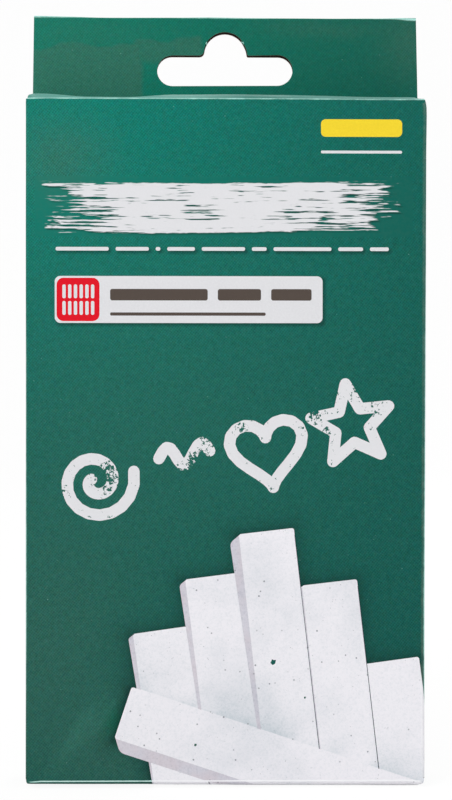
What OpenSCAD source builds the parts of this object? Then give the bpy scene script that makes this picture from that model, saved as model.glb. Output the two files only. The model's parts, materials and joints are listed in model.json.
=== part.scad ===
// Hang-tab carton of square blackboard chalk: one folded board blank with a tuck lid, a doubled
// hang tab with a shaped hanging slot, and a stack of loose chalk sticks lying across its width.
// The origin is under the middle of the carton, +Z is up and the front panel faces -Y.

/* [Chalk sticks] */
// Side of a stick's square section
stick_side = 12; // [9:0.5:16]
// Length of a stick
stick_len = 84; // [60:1:110]
// Number of sticks in the stack
stick_count = 12; // [6:1:16]
// Radius along a stick's long edges
stick_edge_r = 1.2; // [0.4:0.1:2.5]
// Chamfer round a stick's ends
stick_chamfer = 0.6; // [0.2:0.1:1.2]

/* [Board and folds] */
// Thickness of the board
board = 0.45; // [0.3:0.05:0.6]
// Radius inside a folded edge
fold_in_r = 0.45; // [0.3:0.05:0.7]

/* [Room round the sticks] */
// Play at each end of a stick
end_gap = 0.825; // [0.3:0.025:2]
// Gap between the sticks and the front panel
front_gap = 0.1; // [0.05:0.05:0.5]
// Height left free between the top stick and the lid
headspace = 4.2; // [3.8:0.1:8]

/* [Lid and tuck flap] */
// Height of the lid's bow above its two folds
lid_bow = 1.6; // [0.5:0.1:2]
// Distance of the lid's cut ends from the carton's sides
lid_inset = 0.9; // [0.5:0.1:2]
// Running gap round a hinged fold
hinge_gap = 0.1; // [0.05:0.01:0.15]
// Length of the tuck flap below the lid
tuck_len = 8; // [5:0.5:8.5]
// Distance of the tuck flap's ends from the lid's ends
tuck_inset = 1; // [1:0.1:3]
// Radius of the tuck flap's lower corners
tuck_corner_r = 4; // [2:0.5:4.5]
// Gap between the sticks and the tuck flap
tuck_front_gap = 0.3; // [0.25:0.05:0.6]
// Gap between the tuck flap and the back panel
tuck_back_gap = 1.25; // [1.2:0.05:2]

/* [Dust flaps and bottom flaps] */
// Reach of the dust flaps and the short bottom flaps from a side panel
dust_len = 24; // [12:0.5:28]
// Gap between the dust flaps and the lid's folds
dust_gap = 0.1; // [0.05:0.05:0.3]
// Distance of the dust flaps' rear edges from the tuck flap
dust_clear = 0.6; // [0.5:0.1:3]
// Cut-back of a dust flap's rear edge from its root to its free end
dust_cutback = 2.2; // [0:0.1:3]
// Corner cut at the free end of a dust flap
dust_corner = 2; // [0.5:0.1:3]
// Distance of the outer bottom flap's ends from the carton's sides
bottom_inset = 0.45; // [0.3:0.05:1]
// Distance of the outer bottom flap's free edge from the back of the carton
bottom_back_gap = 1.1; // [1:0.1:3]

/* [Side seam] */
// Width of the glue flap behind the left side panel
glue_w = 10; // [6:0.5:11]
// Distance of the glue flap's fold from the ends of the corner fold
glue_end = 1.5; // [0.5:0.1:4]
// Cut-back of the glue flap's ends from its fold to its free edge
glue_cutback = 4; // [0:0.5:8]
// Distance of the side panel's cut edge from the back of the carton
seam_inset = 0.5; // [0.4:0.05:0.8]

/* [Hang tab] */
// Height of the hang tab above the carton
tab_h = 20; // [17:0.5:35]
// Distance of the tab's foot from the carton's sides
tab_inset = 0.3; // [0.3:0.1:4]
// Distance of the tab's top corners from the carton's sides
tab_top_inset = 0.6; // [0.3:0.05:6]
// Gap between the lid and the lower edge of the tab's front layer
tab_lap_gap = 0.5; // [0.3:0.1:1]
// Width of the hanging slot
slot_w = 30.4; // [24:0.1:36]
// Height of the slot's straight part
slot_h = 6.65; // [5:0.05:8]
// Height of the slot's lower edge above the carton
slot_lift = 4.6; // [3:0.1:8]
// Radius of the arch above the slot
arch_r = 4.75; // [3:0.05:5.5]
// Height of the arch's centre above the slot's straight edge
arch_lift = 0.4; // [0:0.05:1]
// Radius where the arch meets the straight edge
arch_foot_r = 0.6; // [0.2:0.1:1.5]
// Sideways shift of the slot in the back layer
slot_shift = -0.18; // [-0.4:0.02:0.4]
// Drop of the slot in the back layer
slot_drop = 0.38; // [0:0.02:0.6]

/* [Hidden] */
$fn = 48;
fold_r = fold_in_r + board;
knuckle_r = board / 2;

// depth to which stretches of the one blank are drawn into each other, so that they join
bite = board / 2;

// outside sizes follow from the stack of sticks; three layers of board lie under it, and
// the glue flap adds a third layer across the width
floor_z = 3 * board;
stack_h = stick_count * stick_side;
box_w = stick_len + 2 * end_gap + 3 * board;
box_d = front_gap + stick_side + tuck_front_gap + tuck_back_gap + 3 * board;
box_h = floor_z + stack_h + headspace + board;
side_x = box_w / 2;
front_y = -box_d / 2;
back_y = box_d / 2;

// ends of the upright corner folds, between the folds of the side panels' flaps
corner_lo = 2 * board + fold_r;
dust_top = box_h - board - dust_gap;
corner_hi = dust_top - fold_r;

// hinge lines, in the middle of the board's thickness
hinge_y = front_y + knuckle_r;
hinge_z = box_h - knuckle_r;
tuck_y = back_y - board - tuck_back_gap - knuckle_r;
lid_span = tuck_y - hinge_y;
lid_w = box_w - 2 * lid_inset;
lid_r = (pow(lid_span / 2, 2) + pow(lid_bow, 2)) / (2 * lid_bow);
tuck_w = lid_w - 2 * tuck_inset;

// the lid slopes down to the tuck fold, and the flap turns in towards it as the lid opens; the
// inner half of the flap's board starts below the point where the two inner faces then meet
tuck_turn = 38.5;
lid_slope = 2 * atan(2 * lid_bow / lid_span);
tuck_relief = knuckle_r / tan((90 + lid_slope - tuck_turn) / 2) + hinge_gap;

// hang tab
tab_top = box_h + tab_h;
lap_z = box_h + tab_lap_gap;
slot_z = box_h + slot_lift;

// each stick lies at its own place along its play
stick_x = board / 2;
stick_y = front_y + board + front_gap + stick_side / 2;
play_used = 0.7;
play_turn = 137;
function stick_shift(i) = play_used * end_gap * sin(play_turn * i);
function stick_name(i) = str("chalk_stick_", i < 10 ? "0" : "", i);

// a flat outline in Y and Z, made width wide and centred across X
module across(width)
    translate([-width / 2, 0, 0])
        rotate([90, 0, 90])
            linear_extrude(width)
                children();

// a flat outline in X and Z, made a wall from front to back
module wall(front, back)
    translate([0, back, 0])
        rotate([90, 0, 0])
            linear_extrude(back - front)
                children();

module rounded_rect(size_x, size_y, r) {
    square([size_x - 2 * r, size_y], center = true);
    square([size_x, size_y - 2 * r], center = true);
    for (sx = [-1, 1], sy = [-1, 1])
        translate([sx * (size_x / 2 - r), sy * (size_y / 2 - r)])
            circle(r);
}

// section of folded board: one leg along +X, one along +Y, the fold's outside at the origin
module bend(leg_x, leg_y)
    difference() {
        union() {
            translate([fold_r, 0])
                square([leg_x - fold_r, leg_y]);
            translate([0, fold_r])
                square([leg_x, leg_y - fold_r]);
            translate([fold_r, fold_r])
                circle(fold_r);
        }
        translate([fold_r, board])
            square([leg_x, leg_y]);
        translate([board, fold_r])
            square([leg_x, leg_y]);
        translate([fold_r, fold_r])
            circle(fold_in_r);
    }

// the walls between the corner folds' ends; the corner at the seam is a cut edge, not a fold
module walls_section() {
    open_x = board + fold_r;
    difference() {
        rounded_rect(box_w, box_d, fold_r);
        rounded_rect(box_w - 2 * board, box_d - 2 * board, fold_in_r);
        translate([-side_x - bite, back_y - fold_r])
            square([open_x + bite, fold_r + bite]);
    }
    translate([-side_x, front_y + fold_r])
        square([board, box_d - fold_r - seam_inset]);
}

// the glue flap, folded in from the back panel and glued behind the side panel
module glue_flap() {
    fold_y = back_y - fold_r;
    edge_y = back_y - glue_w;
    flap_lo = corner_lo + glue_end;
    flap_hi = corner_hi - glue_end;
    intersection() {
        linear_extrude(box_h) {
            translate([-side_x + board, back_y])
                mirror([0, 1])
                    bend(fold_r + bite, glue_w);
            translate([-side_x + board - bite, edge_y])
                square([board + bite, glue_w - fold_r]);
        }
        across(2 * box_w)
            polygon([[back_y + bite, flap_lo], [back_y + bite, flap_hi], [fold_y, flap_hi],
                [edge_y, flap_hi - glue_cutback], [edge_y, flap_lo + glue_cutback],
                [fold_y, flap_lo]]);
    }
}

// the front panel's lower edge and the outer bottom flap
module outer_bottom()
    across(box_w - 2 * bottom_inset)
        translate([front_y, 0])
            bend(box_d - bottom_back_gap, corner_lo + bite);

// the back panel's lower edge and the second bottom flap, glued inside the outer one
module second_bottom()
    across(box_w - 2 * fold_r) {
        translate([back_y, board])
            mirror([1, 0])
                bend(box_d - fold_r, corner_lo - board + bite);
        translate([front_y + fold_r, board - bite])
            square([box_d - fold_r - bottom_back_gap, board]);
    }

// one short bottom flap, folded in from the right side panel under the sticks
module side_bottom()
    wall(front_y + fold_r, back_y - fold_r) {
        translate([side_x, 2 * board])
            mirror([1, 0])
                bend(dust_len, fold_r + bite);
        translate([side_x - dust_len, 2 * board - bite])
            square([dust_len - fold_r, board]);
    }

// one dust flap, folded in from the right side panel under the lid
module dust_flap() {
    root_x = side_x - fold_r;
    tip_x = side_x - dust_len;
    near_y = front_y + fold_r;
    far_y = tuck_y - knuckle_r - dust_clear;
    wall(near_y, back_y - fold_r)
        translate([side_x, dust_top])
            rotate(180)
                bend(fold_r + bite, fold_r + bite);
    translate([0, 0, dust_top - board])
        linear_extrude(board)
            polygon([[root_x, near_y], [root_x, far_y], [tip_x + dust_corner, far_y - dust_cutback],
                [tip_x, far_y - dust_cutback - dust_corner], [tip_x, near_y + dust_corner],
                [tip_x + dust_corner, near_y]]);
}

// the front panel's top edge, rounded about the lid's hinge line
module hinge_edge()
    across(lid_w) {
        translate([front_y, corner_hi - bite])
            square([board, hinge_z - corner_hi + bite]);
        translate([hinge_y, hinge_z])
            circle(knuckle_r);
    }

// the rounding where the arch runs into the slot's straight edge, on the right
module arch_foot() {
    foot_x = sqrt(pow(arch_r + arch_foot_r, 2) - pow(arch_foot_r - arch_lift, 2));
    foot_z = slot_h + arch_foot_r;
    difference() {
        polygon([[0, slot_h - bite], [0, slot_h + arch_lift], [foot_x, foot_z],
            [foot_x, slot_h - bite]]);
        translate([foot_x, foot_z])
            circle(arch_foot_r);
    }
}

// outline of the hanging slot, from the middle of its lower edge
module slot_outline() {
    end_x = (slot_w - slot_h) / 2;
    translate([-end_x, 0])
        square([2 * end_x, slot_h]);
    for (sx = [-1, 1])
        translate([sx * end_x, slot_h / 2])
            circle(slot_h / 2);
    translate([0, slot_h + arch_lift])
        circle(arch_r);
    for (side = [0, 1])
        mirror([side, 0])
            arch_foot();
}

// the hang tab's two layers, from the back panel up over the top fold and down again
module tab_section() {
    fold_z = tab_top - board;
    translate([back_y - board, corner_hi])
        square([board, fold_z - corner_hi]);
    translate([back_y - 2 * board, lap_z])
        square([2 * board, fold_z - lap_z]);
    translate([back_y - board, fold_z])
        circle(board);
}

// the back panel's upper end; the two layers' slots were cut before folding and don't quite meet
module hang_tab() {
    foot_x = side_x - tab_inset;
    top_x = side_x - tab_top_inset;
    difference() {
        intersection() {
            across(box_w)
                tab_section();
            wall(front_y, back_y + bite)
                polygon([[-foot_x, corner_hi], [foot_x, corner_hi], [foot_x, box_h],
                    [top_x, tab_top], [-top_x, tab_top], [-foot_x, box_h]]);
        }
        wall(back_y - 3 * board, back_y - board)
            translate([0, slot_z])
                slot_outline();
        wall(back_y - board, back_y + board)
            translate([slot_shift, slot_z - slot_drop])
                slot_outline();
    }
    across(box_w - 2 * fold_r)
        translate([back_y - board, corner_hi - bite])
            square([board, 2 * bite]);
}

module carton()
    color([0.13, 0.45, 0.39]) {
        translate([0, 0, corner_lo])
            linear_extrude(corner_hi - corner_lo)
                walls_section();
        glue_flap();
        outer_bottom();
        second_bottom();
        for (side = [0, 1])
            mirror([side, 0, 0]) {
                side_bottom();
                dust_flap();
            }
        hinge_edge();
        hang_tab();
    }

// section of the bowed lid from hinge line to hinge line, with the tuck fold's knuckle
module lid_section() {
    mid_y = (hinge_y + tuck_y) / 2;
    bow_z = hinge_z + lid_bow - lid_r;
    difference() {
        intersection() {
            translate([mid_y, bow_z])
                difference() {
                    circle(lid_r + knuckle_r);
                    circle(lid_r - knuckle_r);
                }
            polygon([[mid_y, bow_z], [hinge_y, hinge_z], [hinge_y, hinge_z + lid_span],
                [tuck_y, hinge_z + lid_span], [tuck_y, hinge_z]]);
        }
        translate([hinge_y, hinge_z])
            circle(knuckle_r + hinge_gap);
        translate([front_y - bite, hinge_z - lid_span])
            square([board + hinge_gap + bite, lid_span]);
    }
    translate([tuck_y, hinge_z])
        circle(knuckle_r);
}

module lid()
    color([0.15, 0.47, 0.41])
        across(lid_w)
            lid_section($fn = 180);

// outline of the tuck flap in X and Z, with round lower corners
module tuck_outline() {
    low_z = hinge_z - tuck_len;
    corner_x = tuck_w / 2 - tuck_corner_r;
    translate([-tuck_w / 2, low_z + tuck_corner_r])
        square([tuck_w, tuck_len - tuck_corner_r]);
    translate([-corner_x, low_z])
        square([2 * corner_x, tuck_len]);
    for (sx = [-1, 1])
        translate([sx * corner_x, low_z + tuck_corner_r])
            circle(tuck_corner_r);
}

module tuck_flap()
    color([0.13, 0.43, 0.37])
        difference() {
            wall(tuck_y - knuckle_r, tuck_y + knuckle_r)
                tuck_outline();
            across(box_w) {
                translate([tuck_y, hinge_z])
                    circle(knuckle_r + hinge_gap);
                translate([tuck_y - board, hinge_z - tuck_relief])
                    square(board);
            }
        }

// a stick's outline seen from its side, with its ends chamfered
module stick_outline() {
    end_x = stick_len / 2;
    flat_x = end_x - stick_chamfer;
    half = stick_side / 2;
    flat = half - stick_chamfer;
    polygon([[-flat_x, -half], [flat_x, -half], [end_x, -flat], [end_x, flat],
        [flat_x, half], [-flat_x, half], [-end_x, flat], [-end_x, -flat]]);
}

module chalk_stick(i)
    color([0.93, 0.93, 0.91])
        translate([stick_x + stick_shift(i), stick_y, floor_z + (i - 0.5) * stick_side])
            intersection() {
                across(stick_len)
                    rounded_rect(stick_side, stick_side, stick_edge_r);
                linear_extrude(stick_side, center = true)
                    stick_outline();
                wall(-stick_side / 2, stick_side / 2)
                    stick_outline();
            }

carton();
lid();
tuck_flap();
for (i = [1:stick_count])
    chalk_stick(i);
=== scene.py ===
import json, math
import bpy, bmesh
from mathutils import Matrix, Vector, noise
from mathutils.geometry import delaunay_2d_cdt


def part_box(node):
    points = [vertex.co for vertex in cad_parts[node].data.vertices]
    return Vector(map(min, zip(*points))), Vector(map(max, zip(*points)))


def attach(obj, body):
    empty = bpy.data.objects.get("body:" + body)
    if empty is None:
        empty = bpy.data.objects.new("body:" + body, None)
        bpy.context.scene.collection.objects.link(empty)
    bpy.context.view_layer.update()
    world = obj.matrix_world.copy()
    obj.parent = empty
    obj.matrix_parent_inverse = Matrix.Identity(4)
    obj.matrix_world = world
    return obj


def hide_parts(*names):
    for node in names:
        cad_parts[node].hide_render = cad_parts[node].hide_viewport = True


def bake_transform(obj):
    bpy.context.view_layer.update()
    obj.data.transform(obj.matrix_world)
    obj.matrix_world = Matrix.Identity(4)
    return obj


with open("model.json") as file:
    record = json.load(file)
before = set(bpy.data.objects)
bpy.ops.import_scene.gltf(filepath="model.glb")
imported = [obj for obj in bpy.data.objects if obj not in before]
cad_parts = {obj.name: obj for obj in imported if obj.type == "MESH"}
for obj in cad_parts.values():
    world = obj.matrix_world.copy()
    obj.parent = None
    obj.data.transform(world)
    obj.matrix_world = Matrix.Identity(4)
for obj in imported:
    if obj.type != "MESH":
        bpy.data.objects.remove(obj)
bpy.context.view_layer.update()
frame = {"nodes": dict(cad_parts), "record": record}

mm = 0.001
tau = 2 * math.pi

# sizes in millimetres, taken from the solids where they can be read there
cartonLow, cartonHigh = (Vector(corner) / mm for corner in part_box("carton"))
hinge, tuck = (Vector(joint["pos_m"]) / mm for joint in frame["record"]["behaviour"]["joints"])
board = 2 * (hinge.y - cartonLow.y)
sideX, frontY, backY = cartonHigh.x, cartonLow.y, cartonHigh.y
boxTop, tabTop = hinge.z + board / 2, cartonHigh.z
folds = {
    "upright": 0.65,  # outer radius of the corner folds
    "bottom": 0.9,
    "dust": 0.85,
    "dustTop": 0.05,  # how far the dust flaps' folds stay below the carton's top
    "stripLow": 1.0,  # the lid's fold strip starts this far below the carton's top
}
flatX = sideX - folds["upright"]  # half the flat part of the front panel
wallLow = 2 * board + folds["bottom"]  # ends of the upright folds
wallHigh = boxTop - folds["dustTop"] - folds["dust"]
stripTop = boxTop - folds["stripLow"]
uprightArc = folds["upright"] * math.pi / 2


# node trees

def sums(kind, reflected=False):
    # a method that puts its values through a Math node
    def method(self, *others):
        values = (*others, self) if reflected else (self, *others)
        return self.tree.add("ShaderNodeMath", values, operation=kind)
    return method


class Wire:
    # a socket that takes part in plain Python maths
    def __init__(self, tree, socket):
        self.tree, self.socket = tree, socket

    __add__ = __radd__ = sums("ADD")
    __mul__ = __rmul__ = sums("MULTIPLY")
    __sub__, __rsub__ = sums("SUBTRACT"), sums("SUBTRACT", True)
    __truediv__, __rtruediv__ = sums("DIVIDE"), sums("DIVIDE", True)
    atLeast, atMost = sums("MAXIMUM"), sums("MINIMUM")
    size, root, sine, rounded = sums("ABSOLUTE"), sums("SQRT"), sums("SINE"), sums("ROUND")

    def split(self):
        # the x, y and z of a vector
        parts = self.tree.add("ShaderNodeSeparateXYZ", [self]).socket.node
        return [Wire(self.tree, out) for out in parts.outputs]

    def fade(self, reach):
        # 1 at nothing, falling away over reach
        return sums("EXPONENT")(self * (-1 / reach))

    def ramp(self, start, end):
        # 0 at start, 1 at end, smooth between
        return self.tree.add("ShaderNodeMapRange", {"Value": self, "From Min": start, "From Max": end},
                             interpolation_type="SMOOTHSTEP")

    def over(self, edge, soft):
        # 1 above an edge, or below it if soft is less than nothing
        return self.ramp(edge - soft, edge + soft)


class Tree:
    def __init__(self, tree):
        self.tree = tree

    def add(self, kind, inputs=(), output=0, **settings):
        node = self.tree.nodes.new(kind)
        for name, value in settings.items():
            setattr(node, name, value)
        self.plug(node, inputs)
        return Wire(self, node.outputs[output])

    def plug(self, node, inputs):
        for key, value in inputs.items() if isinstance(inputs, dict) else enumerate(inputs):
            if isinstance(value, Wire):
                self.tree.links.new(value.socket, node.inputs[key])
            elif value is not None:
                node.inputs[key].default_value = value

    def vector(self, *parts):
        return self.add("ShaderNodeCombineXYZ", parts)

    def mix(self, share, first, second, kind="MIX"):
        # the colours, for sockets 6 and 7 of the node, are wires, plain colours or names of inks
        pair = [inks[c] if isinstance(c, str) else c for c in (first, second)]
        pair = [c if isinstance(c, Wire) else (*c, 1) for c in pair]
        return self.add("ShaderNodeMix", {0: share, 6: pair[0], 7: pair[1]}, 2,
                        data_type="RGBA", blend_type=kind)

    def where(self):
        return self.add("ShaderNodeTexCoord", output="Object")

    def axes(self):
        # x, y and z over the piece, in millimetres
        return [part / mm for part in self.where().split()]

    def place(self, scale, turn=(0, 0, 0), moved=(0, 0, 0)):
        moved = tuple(m * f for m, f in zip(moved, scale))
        return self.add("ShaderNodeMapping", {"Vector": self.where(), "Location": moved,
                                              "Rotation": turn, "Scale": scale})

    def noise(self, period, detail, rough, seed, where=None, output=0):
        # period in millimetres
        return self.add("ShaderNodeTexNoise",
                        {"Vector": where or self.where(), "W": seed, "Scale": 1 / (period * mm),
                         "Detail": detail, "Roughness": rough}, output, noise_dimensions="4D")

    def cells(self, period):
        return self.add("ShaderNodeTexVoronoi", {"Vector": self.where(), "Scale": 1 / (period * mm)})

    def attribute(self, name):
        return self.add("ShaderNodeAttribute", output="Fac", attribute_name=name)

    def bump(self, height, depth, strength, over=None):
        # depth in millimetres
        return self.add("ShaderNodeBump", {"Height": height, "Distance": depth * mm,
                                           "Strength": strength, "Normal": over})


def far(a, b):
    return (a * a + b * b).root()


def turned(x, z, angle):
    # the same place along axes turned by an angle
    return x * math.cos(angle) + z * math.sin(angle), z * math.cos(angle) - x * math.sin(angle)


def srgb(*colour):
    # 0 to 255 as seen on a screen, made linear
    return tuple(v / 255 / 12.92 if v <= 10 else ((v / 255 + 0.055) / 1.055) ** 2.4 for v in colour)


def past(value, low, high):
    # how far a place is outside a span, and below nothing inside it
    return (value - (low + high) / 2).size() - (high - low) / 2


def toned(colour, share):
    return tuple(min(1, v * share) for v in colour)


varnish, matt = 0.08, 0.12  # how much the printed and the bare surfaces mirror


def finish(name, build, shine=varnish):
    # a material whose build function returns its colour, roughness, normal and other inputs
    material = bpy.data.materials.new(name)
    material.use_nodes = True
    tree = Tree(material.node_tree)
    colour, rough, normal, *more = build(tree)
    tree.plug(tree.tree.nodes["Principled BSDF"], {
        "Base Color": colour, "Roughness": rough, "Normal": normal, "Specular IOR Level": shine,
        **(more[0] if more else {})})
    return material


# plan of the front print, in millimetres from the middle of the carton's foot

art = {
    # left, right, height of the middle, half height of each pass of the chalk
    "swipes": [(-39.0, 35.2, 129.6, 2.3), (-36.8, 37.6, 126.2, 2.3), (-38.2, 33.0, 122.9, 2.0)],
    "swipeField": (-41.5, 40.5),
    "dashes": {"left": -37.0, "middle": 117.2, "height": 0.8, "space": 1.5,
               "lengths": [11.5, 7.2, 1.0, 6.0, 9.4, 3.2, 12.6, 5.4, 4.1]},
    "label": (-37.2, 21.0, 101.1, 111.3, 1.2),  # left, right, low, high, corner
    "badge": (-36.8, -27.5, 101.5, 110.9, 1.5),
    "badgeBars": {"rows": 2, "columns": 6, "left": 1.25, "low": 1.35, "pitch": 1.24, "rise": 3.6,
                  "width": 0.72, "height": 3.0},
    "labelBars": [(-25.2, -4.0, 106.0, 108.5), (-1.8, 7.6, 106.0, 108.5), (9.8, 18.6, 106.0, 108.5),
                  (-25.2, 8.6, 102.7, 103.4)],
    "corner": (20.6, 38.2, 141.6, 145.4, 1.0),
    "cornerLine": (20.6, 38.2, 138.0, 138.6),
    "barCorner": 0.45,
    "lineWidth": 2.5,
    "curl": {"middle": (-28.4, 66.6), "inner": 1.0, "growth": 0.255, "begin": 150, "turn": 19.5},
    "ripple": {"start": (-14.6, 71.6), "step": (0.85, 0.12), "height": 2.2, "turn": 0.72},
    "heart": {"middle": (9.0, 73.6), "lean": 0.16, "begin": 0.12, "half": 7.9,
              "waves": (6.4, -2.5, -1.0, -0.4)},
    "star": {"middle": (27.4, 79.0), "radii": (9.0, 3.9), "begin": 99},
    "stickWidth": 12.1,
    "stickCorner": 0.5,
    "sideSlant": 0.8,  # how far a pictured side's end leans back, as a share of its width
    "sideCorner": 0.42,
    # under the white print, and its shift, reach and depth round the pictured sticks
    "shade": {"right": 0.44, "down": 0.44, "soft": 0.34, "depth": 0.6, "corner": 0.5,
              "sticks": (0.5, 1.7, 0.72)},
    "specks": [(10.4, 27.2, 0.6), (-6.6, 9.1, 0.3), (17.3, 19.4, 0.24)],  # x, height, radius
}

# the pictured sticks: foot, head, width as a share, how much of the left side shows at foot and
# head, and the width of the dark line along the right side
sticks = [
    dict(foot=(40.6, -5), head=(36.2, 27.5), width=1.0, side=(0.2, 0.8), gap=0),
    dict(foot=(-8.9, -5), head=(-14.4, 34.2), width=0.98, side=(0.2, 1.1), gap=0.32),
    dict(foot=(28.3, -5), head=(22.6, 44.6), width=1.0, side=(0.1, 0.5), gap=0.2),
    dict(foot=(3.4, -5), head=(-3.0, 46.0), width=0.98, side=(0.1, 1.4), gap=0.26),
    dict(foot=(15.8, -5), head=(8.8, 55.8), width=1.0, side=(0.2, 2.1), gap=0.16),
    dict(foot=(41.0, -5), head=(-22.4, 16.2), width=0.98, side=(2.3, 2.6), gap=0),
]


def dashBoxes():
    d, boxes, x = art["dashes"], [], art["dashes"]["left"]
    for length in d["lengths"]:
        boxes.append((x, x + length, d["middle"] - d["height"] / 2, d["middle"] + d["height"] / 2))
        x += length + d["space"]
    return boxes


def stickAxes(stick):
    foot, head = Vector(stick["foot"]), Vector(stick["head"])
    along = (head - foot).normalized()
    return foot, along, Vector((along.y, -along.x)), (head - foot).length


def awayFrom(tree, stick, shift=0.0):
    # distance on the print from a pictured stick, and how far above its lower edge
    foot, along, across, length = stickAxes(stick)
    x, y, z = tree.axes()
    x, z = x - foot.x + shift, z - foot.y + shift
    aside = x * across.x + z * across.y
    half = stick["width"] * art["stickWidth"] / 2
    beyond = (x * along.x + z * along.y - length).atLeast(0)
    return far(beyond, (aside.size() - half).atLeast(0)), aside - half


# finishes

inks = {name: srgb(*colour) for name, colour in {
    "greenLitCorner": (8, 123, 108),  # green field near the upper left corner, made lighter there by painted light
    "greenShadedFar": (16, 82, 74),  # and far from it, made darker by painted shade
    "greenGrey": (67, 106, 91),  # cloudy patches, partly a painted reflection haze
    "greenFresh": (0, 112, 82),
    "greenSheen": (64, 128, 112),
    "greenShade": (14, 44, 40),  # soft shade round the pictured sticks
    "white": (226, 226, 229), "red": (226, 22, 40), "yellow": (246, 216, 52), "greyBrown": (86, 76, 70),
    "stickFace": (240, 238, 243), "stickSide": (212, 210, 219), "stickGap": (44, 54, 70),
    "coolFace": (196, 203, 210), "coolSide": (178, 178, 190),  # smudges on the pictured chalk
    "stickShade": (168, 184, 192), "warmSide": (214, 196, 200), "stickPore": (84, 90, 102),
    "boardCore": (138, 124, 108), "boardInside": (168, 160, 146), "paleBoardAndSheen": (170, 222, 212),
    "rubbedAndHighlightWhite": (250, 250, 253), "edgeDark": (44, 33, 28),
    "chalk": (236, 235, 230), "chalkSmear": (214, 213, 208), "chalkPit": (150, 148, 142),
    "chalkChip": (248, 248, 246),
}.items()}
field = {
    "tabTone": (1.1, 0.955, 0.855),  # the tab against the rest, as shares of its colour
    "tabFoot": (1.12, 1.06, 0.96),  # and its lowest part
    "tabFootTo": (boxTop + 7, boxTop + 1),
    "tabFrom": (boxTop - 0.1, boxTop + 0.2),  # where the tab's tone sets in, by height and depth
    "tabFront": (backY - 1.7, backY - 1.3), "tabRear": (backY - 0.1, backY - 0.4),
    "light": (-43, 152, 66), "paintedLightGain": 1.12,  # x, height and reach of the brightest part of the painted light
    "screenPitch": 0.48 / tau, "screenTurn": -0.655, "screenDepth": (0.125, 0.0875),
    "grain": 0.9, "cloud": 0.42,  # fine and coarser unevenness of the ink
    "tint": (0.96, 0.21, 0.36),  # and unevenness of its colour
    "tabTexture": 0.75,  # the share of it that shows on the tab
    "drift": 7, "haze": 0.1,  # how unevenly the patches' borders run, and grey all over
    "patches": [  # x, height, spread across and up, share; grey patches, partly a painted reflection haze
        (-36.0, 137.0, 10.0, 8.0, 0.38), (-33.0, 165.5, 17.0, 5.0, 0.17),
        (22.0, 167.4, 12.0, 2.0, 0.22), (44.0, 164.0, 8.0, 8.0, 0.34), (-40.0, 24.0, 22.0, 34.0, 0.3),
        (-22.0, 6.0, 12.0, 9.0, 0.2), (-22.0, 78.0, 48.0, 40.0, 0.17)],
    # grey fields with clear borders on the tab: left, right, low, high, share of grey
    "veils": [(-50.0, -18.6, 140.0, 163.6, 0.5), (-20.5, -5.0, 160.0, 165.2, 0.42)],
    "veilSoft": (1, -0.8, 1, -0.6), "veilDrift": (0.4, 0.85), "greyMost": 0.75,
    "sheen": [(-32.0, 12.0, 8.5, 1.9, 0.26), (-26.0, 16.0, 6.0, 1.2, 0.26)],
    "sheenTurn": 0.98,
    "fresh": (-23.5, 13.6, 2.4, 3.4, 0.6),
    "frontOnly": (frontY + 2.5, frontY + 0.7),  # depths between which the print's shade ends
}
lidCoatAndPaintedSheen = {  # of the lid, by height and depth: its coat, roughness and a painted sheen mixed into its colour, strongest along its front and nothing at its left end
    "from": (boxTop - 0.3, boxTop - 0.05), "rear": (backY - 1.4, backY - 1.8), "front": (0.5, -3.5),
    "left": (-sideX - 0.1, -sideX + 1.9),
    "share": 0.3, "tilt": 0.0006, "streaks": 0.16,
    "dull": (5, 90, 0.22),  # place, spread and depth of a stretch with less painted sheen
    "rough": 0.28, "coat": 0.2, "coatRough": 0.28,
}


def spot(x, z, place, turn=0.0):
    # a share at a place on the print, fading away over its spread
    left, high, wide, tall, share = place
    across, up = turned(x - left, z - high, turn)
    across, up = across / wide, up / tall
    return (across * across + up * up).fade(1) * share


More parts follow.
